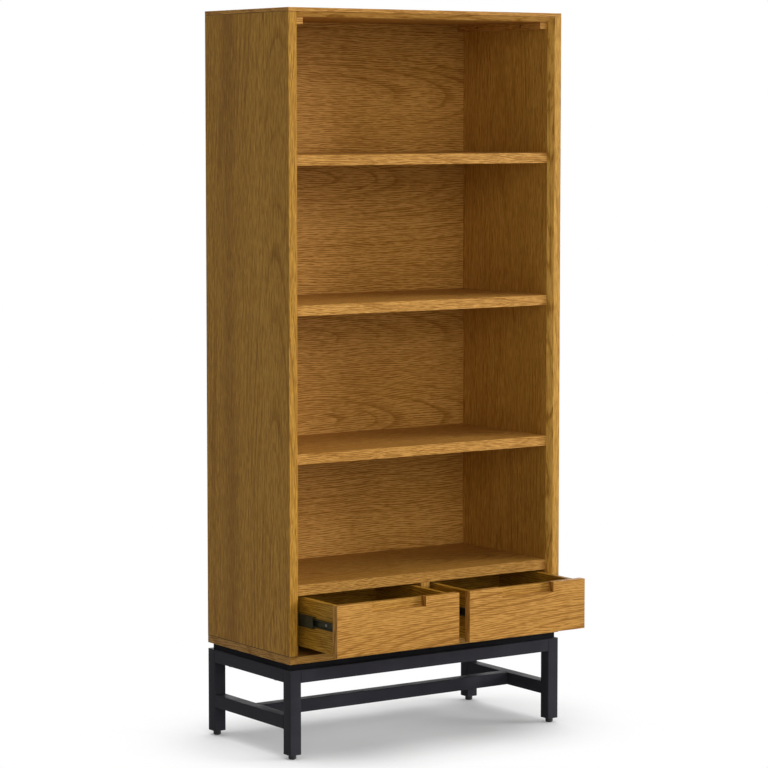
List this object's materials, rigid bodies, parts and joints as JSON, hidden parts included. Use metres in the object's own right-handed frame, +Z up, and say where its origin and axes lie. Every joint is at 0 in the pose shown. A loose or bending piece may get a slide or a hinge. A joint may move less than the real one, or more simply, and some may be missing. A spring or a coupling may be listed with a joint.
{
  "type": "bookcase with bottom drawers",
  "caption": "Tall open oak bookcase with fixed shelves over side-by-side drawers on ball-bearing slides, standing on a dark welded square-tube base.",
  "frame": {"origin": "on the floor, at the middle of the plan that the bookcase covers with its drawers standing open", "axes": "+Z up, +Y from the open front to the back, +X to the right as seen from the front"},
  "size_m": [0.76, 0.498, 1.685],
  "materials": {
    "oak_veneer": "satin lacquered oak veneer",
    "back_board": "oak veneered back board",
    "cleat_wood": "stained solid wood",
    "beech": "plain beech",
    "drawer_wood": "satin brown stained wood",
    "drawer_board": "brown faced board",
    "plinth_black": "black painted board",
    "charcoal_paint": "charcoal powder coat on welded tube",
    "black_plastic": "black nylon",
    "slide_steel": "black coated rolled steel",
    "cage_steel": "bright steel strip and balls",
    "zinc_screw": "zinc plated"
  },
  "bodies": {
    "carcass_and_base": {"top_panel": "oak_veneer", "left_side_panel": "oak_veneer", "right_side_panel": "oak_veneer", "bottom_panel": "oak_veneer", "drawer_deck": "oak_veneer", "lower_shelf": "oak_veneer", "middle_shelf": "oak_veneer", "upper_shelf": "oak_veneer", "drawer_divider": "oak_veneer", "back_panel": "back_board", "back_panel_screws": "zinc_screw", "left_top_cleat": "cleat_wood", "right_top_cleat": "cleat_wood", "cleat_screws": "zinc_screw", "wood_dowels": "beech", "plinth_board": "plinth_black", "base_bolts": "zinc_screw", "base_front_rail": "charcoal_paint", "base_back_rail": "charcoal_paint", "base_left_rail": "charcoal_paint", "base_right_rail": "charcoal_paint", "front_left_leg": "charcoal_paint", "front_right_leg": "charcoal_paint", "back_left_leg": "charcoal_paint", "back_right_leg": "charcoal_paint", "left_stretcher": "charcoal_paint", "right_stretcher": "charcoal_paint", "centre_stretcher": "charcoal_paint", "leg_feet": "black_plastic", "left_cabinet_members": "slide_steel", "right_cabinet_members": "slide_steel", "cabinet_slide_screws": "zinc_screw"},
    "left_drawer": {"left_drawer_front": "oak_veneer", "left_front_screws": "zinc_screw", "left_box_front": "drawer_wood", "left_box_back": "drawer_wood", "left_box_left_side": "drawer_wood", "left_box_right_side": "drawer_wood", "left_box_bottom": "drawer_board", "left_drawer_members": "slide_steel", "left_slide_screws": "zinc_screw"},
    "left_middle_members": {"left_middle_members": "slide_steel"},
    "left_outer_cages": {"left_outer_ball_cages": "cage_steel"},
    "left_inner_cages": {"left_inner_ball_cages": "cage_steel"},
    "right_drawer": {"right_drawer_front": "oak_veneer", "right_front_screws": "zinc_screw", "right_box_front": "drawer_wood", "right_box_back": "drawer_wood", "right_box_left_side": "drawer_wood", "right_box_right_side": "drawer_wood", "right_box_bottom": "drawer_board", "right_drawer_members": "slide_steel", "right_slide_screws": "zinc_screw"},
    "right_middle_members": {"right_middle_members": "slide_steel"},
    "right_outer_cages": {"right_outer_ball_cages": "cage_steel"},
    "right_inner_cages": {"right_inner_ball_cages": "cage_steel"}
  },
  "joints": [
    {"name": "left_drawer_slide", "type": "slide", "parent": "carcass_and_base", "child": "left_drawer", "axis": [0, -1, 0], "range_m": [-0.155, 0.145]},
    {"name": "left_middle_members_slide", "type": "slide", "parent": "carcass_and_base", "child": "left_middle_members", "axis": [0, -1, 0], "range_m": [-0.0775, 0.0725]},
    {"name": "left_outer_cages_slide", "type": "slide", "parent": "carcass_and_base", "child": "left_outer_cages", "axis": [0, -1, 0], "range_m": [-0.03875, 0.03625]},
    {"name": "left_inner_cages_slide", "type": "slide", "parent": "carcass_and_base", "child": "left_inner_cages", "axis": [0, -1, 0], "range_m": [-0.11625, 0.10875]},
    {"name": "right_drawer_slide", "type": "slide", "parent": "carcass_and_base", "child": "right_drawer", "axis": [0, -1, 0], "range_m": [-0.155, 0.145]},
    {"name": "right_middle_members_slide", "type": "slide", "parent": "carcass_and_base", "child": "right_middle_members", "axis": [0, -1, 0], "range_m": [-0.0775, 0.0725]},
    {"name": "right_outer_cages_slide", "type": "slide", "parent": "carcass_and_base", "child": "right_outer_cages", "axis": [0, -1, 0], "range_m": [-0.03875, 0.03625]},
    {"name": "right_inner_cages_slide", "type": "slide", "parent": "carcass_and_base", "child": "right_inner_cages", "axis": [0, -1, 0], "range_m": [-0.11625, 0.10875]}
  ],
  "couplings": [
    {"joint": "left_middle_members_slide", "follows": "left_drawer_slide", "ratio": 0.5},
    {"joint": "left_outer_cages_slide", "follows": "left_drawer_slide", "ratio": 0.25},
    {"joint": "left_inner_cages_slide", "follows": "left_drawer_slide", "ratio": 0.75},
    {"joint": "right_middle_members_slide", "follows": "right_drawer_slide", "ratio": 0.5},
    {"joint": "right_outer_cages_slide", "follows": "right_drawer_slide", "ratio": 0.25},
    {"joint": "right_inner_cages_slide", "follows": "right_drawer_slide", "ratio": 0.75}
  ]
}
